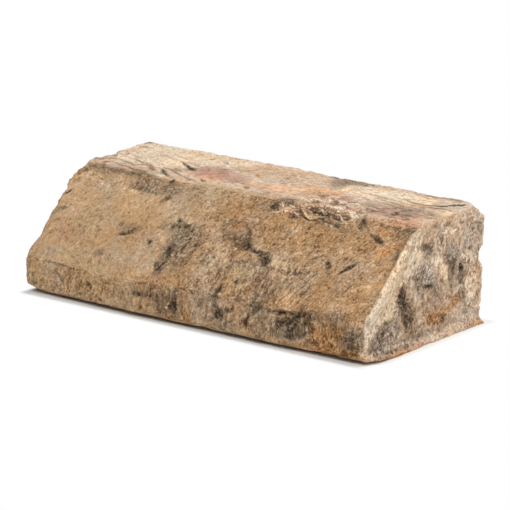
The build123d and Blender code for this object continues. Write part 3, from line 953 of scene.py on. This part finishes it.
def clay_material():
    """Sand-faced fired clay: one grain, read through the colours of each kind of surface."""
    material, paint = new_material("fired_clay_detail")
    shader = paint.tree.nodes["Principled BSDF"]
    ways = {
        "space": (paint.add("ShaderNodeTexCoord").outputs["Object"], 1 / MM),
        "drag": (paint.attribute("grain", "Vector"), 1.0),
    }
    signals = {}
    for name, (way, width, *settings) in PAINT_NOISES.items():
        place, scale = ways[way]
        signals[name] = paint.noise(place, scale / width, *settings)
    centred = {name: paint.math("SUBTRACT", signals[name], 0.5) for name in IN_GRAIN}
    stretched = {name: paint.span(signals[name], 0.38, 0.62, -0.5, 0.5) for name in IN_OUTLINE}

    tone = paint.math("MULTIPLY_ADD", paint.weigh(centred, IN_GRAIN, 0.0), paint.attribute("rough"), 0.5)
    body = paint.ramp(tone, PALETTES["tan"])
    for name, amount in (
        ("brown", paint.attribute("brown")),
        ("end", paint.span(signals["broad"], 0.40, 0.65, 0.0, 0.4)),
        ("end", paint.attribute("end")),
        ("top", paint.math("MULTIPLY", paint.attribute("top"), 0.95)),
    ):
        body = paint.mix(amount, body, paint.ramp(tone, PALETTES[name]))

    # Each mark has its grain, its outline, the strength of the veil over all of it and the strength of its
    # colour, which the ragged noise thins out into flecks towards the mark's edges. The pale mark carries
    # painted highlights too, and the smudges carry painted shadow.
    ragged = paint.weigh(stretched, IN_OUTLINE, 0.0)
    broken = paint.math("ADD", ragged, 1.0)
    whole = paint.math("MULTIPLY_ADD", ragged, 0.4, 1.0)
    harsh = paint.math("MULTIPLY_ADD", paint.math("SUBTRACT", tone, 0.5), 1.7, 0.5)
    for name, contrast, outline, veil, strength in (
        ("pale_and_highlight", tone, broken, 0.6, 0.85),
        ("peach", tone, broken, 0.6, 0.8),
        ("mauve", harsh, whole, 0.1, 0.9),
        ("rose", tone, broken, 0.6, 0.75),
        ("rust", harsh, whole, 0.5, 0.7),
        ("smudge", harsh, broken, 0.25, 0.8),
    ):
        mark = paint.attribute(name)
        shade = paint.ramp(contrast, PALETTES[name])
        body = paint.mix(paint.span(mark, 0.05, 0.95, 0.0, veil), body, shade)
        ragged_mark = paint.math("MULTIPLY", mark, outline)
        body = paint.mix(paint.span(ragged_mark, 0.35, 0.55, 0.0, strength), body, shade)

    # Grey-brown streaks along the grain where it was combed
    streak = paint.span(signals["streak"], 0.52, 0.60, 0.0, 0.6)
    combed = paint.math("MULTIPLY", paint.attribute("streaky"), streak)
    body = paint.mix(combed, body, paint.ramp(harsh, PALETTES["smudge"]))

    # Black in the deepest marks, soot and painted shadow alike, with more of it in the cavities as painted
    # shade, and in the wrinkles that cross every grey one
    smudge = paint.attribute("smudge")
    cavity = paint.attribute("cavity")
    black = paint.ramp(tone, PALETTES["soot"])
    clumped = paint.weigh(stretched, IN_CLUMPS, paint.span(cavity, 0.0, 1.0, 0.56, 0.95))
    soot = paint.math("MULTIPLY", paint.attribute("soot"), clumped)
    body = paint.mix(paint.span(soot, 0.37, 0.6, 0.0, 0.85), body, black)
    off_wrinkle = paint.math("ABSOLUTE", paint.math("SUBTRACT", signals["wrinkle"], 0.5))
    wrinkled = paint.span(off_wrinkle, 0.0, 0.03, 1.0, 0.0)
    creased = paint.math("MULTIPLY", wrinkled, paint.span(smudge, 0.2, 0.7, 0.1, 0.75))
    body = paint.mix(creased, body, black)

    # Strands over the dark, then flecks, the wander of the hue, and shade in the cavities
    strand = paint.math("MULTIPLY", paint.attribute("strand"), broken)
    body = paint.mix(paint.span(strand, 0.4, 0.8, 0.0, 0.75), body, paint.ramp(tone, PALETTES["strand"]))
    body = paint.mix(paint.span(signals["fleck"], 0.28, 0.36, 0.5, 0.0), body, srgb(*FLECK))
    body = paint.mix(1.0, body, paint.mix(paint.span(signals["hue"], 0.36, 0.64), WARM, COOL), "MULTIPLY")
    body = paint.mix(1.0, body, paint.span(cavity, -0.5, 0.9, 1.05, 0.62), "MULTIPLY")

    height = paint.math("MULTIPLY_ADD", creased, -0.5, paint.weigh(signals, IN_BUMP, 0.0))
    height = paint.math("MULTIPLY", height, paint.span(smudge, 0.0, 1.0, 1.0, 1.5))
    bump = paint.fill(paint.add("ShaderNodeBump"), Strength=1.0, Distance=BUMP * MM, Height=height)
    roughness = paint.span(signals["sand"], 0.3, 0.7, 0.82, 0.96)
    paint.fill(shader, Base_Color=body, Roughness=roughness, Normal=bump.outputs["Normal"])
    shader.inputs["Specular IOR Level"].default_value = 0.12
    return material


def make_brick():
    """The visible brick, in place of the plain solid."""
    brick = dense_copy("brick", "fired_brick")
    mesh = brick.data
    for name, values in shape_brick(mesh).items():
        store(mesh, name, values)
    mesh.shade_smooth()
    mesh.materials.append(clay_material())
    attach(brick, "root")
    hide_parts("brick")


def seen_as_white(nodes):
    """1 for the rays that show the white background: the camera's, and those off metal or through glass."""
    path = nodes.add("ShaderNodeLightPath").outputs
    seen = path["Is Camera Ray"]
    for name in ("Is Glossy Ray", "Is Transmission Ray"):
        seen = nodes.math("MAXIMUM", seen, path[name])
    return seen


def floor_material():
    """Grey close to the brick, where it takes the brick's shade, and shining white beyond the fade."""
    material, nodes = new_material("floor_white")
    nodes.tree.nodes.remove(nodes.tree.nodes["Principled BSDF"])
    grey = nodes.add("ShaderNodeBsdfDiffuse", FLOOR_GREY).outputs["BSDF"]
    white = nodes.add("ShaderNodeEmission", WHITE, 1.0).outputs["Emission"]

    # How far a point of the floor lies from the foot of the brick's box
    half_box = (cad_high[0], cad_high[1], 1.0)
    reach = nodes.add("ShaderNodeTexCoord").outputs["Object"]
    for operation, *other in (("ABSOLUTE",), ("SUBTRACT", half_box), ("MAXIMUM", (0, 0, 0))):
        step = nodes.add("ShaderNodeVectorMath", reach, *other, operation=operation)
        reach = step.outputs["Vector"]
    reach = nodes.add("ShaderNodeVectorMath", reach, operation="LENGTH").outputs["Value"]

    share = nodes.math("MULTIPLY", nodes.span(reach, 0.0, FLOOR_FADE * MM), seen_as_white(nodes))
    nodes.fill(nodes.tree.nodes["Material Output"], Surface=nodes.choose(share, grey, white))
    return material


def make_floor():
    """A plain floor at the brick's foot."""
    mesh = bpy.data.meshes.new("floor")
    corners = [(x * FLOOR, y * FLOOR, 0) for x, y in ((-1, -1), (1, -1), (1, 1), (-1, 1))]
    mesh.from_pydata(corners, [], [(0, 1, 2, 3)])
    mesh.materials.append(floor_material())
    new_object("floor", mesh)


def make_world():
    """Soft light from all round, and plain white where the camera sees past the floor."""
    world = bpy.data.worlds.new("studio")
    bpy.context.scene.world = world
    world.use_nodes = True
    nodes = Nodes(world.node_tree)
    sky = nodes.fill(nodes.tree.nodes["Background"], Color=SKY, Strength=SKY_STRENGTH).outputs["Background"]
    white = nodes.add("ShaderNodeBackground", WHITE, 1.0).outputs["Background"]
    surface = nodes.choose(seen_as_white(nodes), sky, white)
    nodes.fill(nodes.tree.nodes["World Output"], Surface=surface)


def make_lamps():
    """Square lamps, each turned to the middle of the brick."""
    for name, (place, power, colour) in LAMPS.items():
        data = bpy.data.lights.new(name, "AREA")
        data.shape = "SQUARE"
        data.size = LAMP_SIDE
        data.energy = power
        data.color = colour
        lamp = new_object(name, data)
        lamp.location = place
        lamp.rotation_euler = (LAMP_AIM - Vector(place)).to_track_quat("-Z", "Y").to_euler()


def make_camera():
    """The photograph's view, with its long lens."""
    data = bpy.data.cameras.new("camera")
    data.sensor_width = SENSOR
    data.lens = FOCAL_PIXELS / FRAME_PIXELS * SENSOR
    data.clip_start = NEAREST
    data.clip_end = FARTHEST
    camera = new_object("camera", data)
    turn, up = math.radians(AZIMUTH), math.radians(ELEVATION)
    back = Vector((math.sin(turn) * math.cos(up), -math.cos(turn) * math.cos(up), math.sin(up)))
    camera.location = TARGET + back * DISTANCE
    camera.rotation_euler = (-back).to_track_quat("-Z", "Y").to_euler()
    bpy.context.scene.camera = camera


make_brick()
make_floor()
make_world()
make_lamps()
make_camera()

bpy.context.scene.view_settings.view_transform = "Standard"
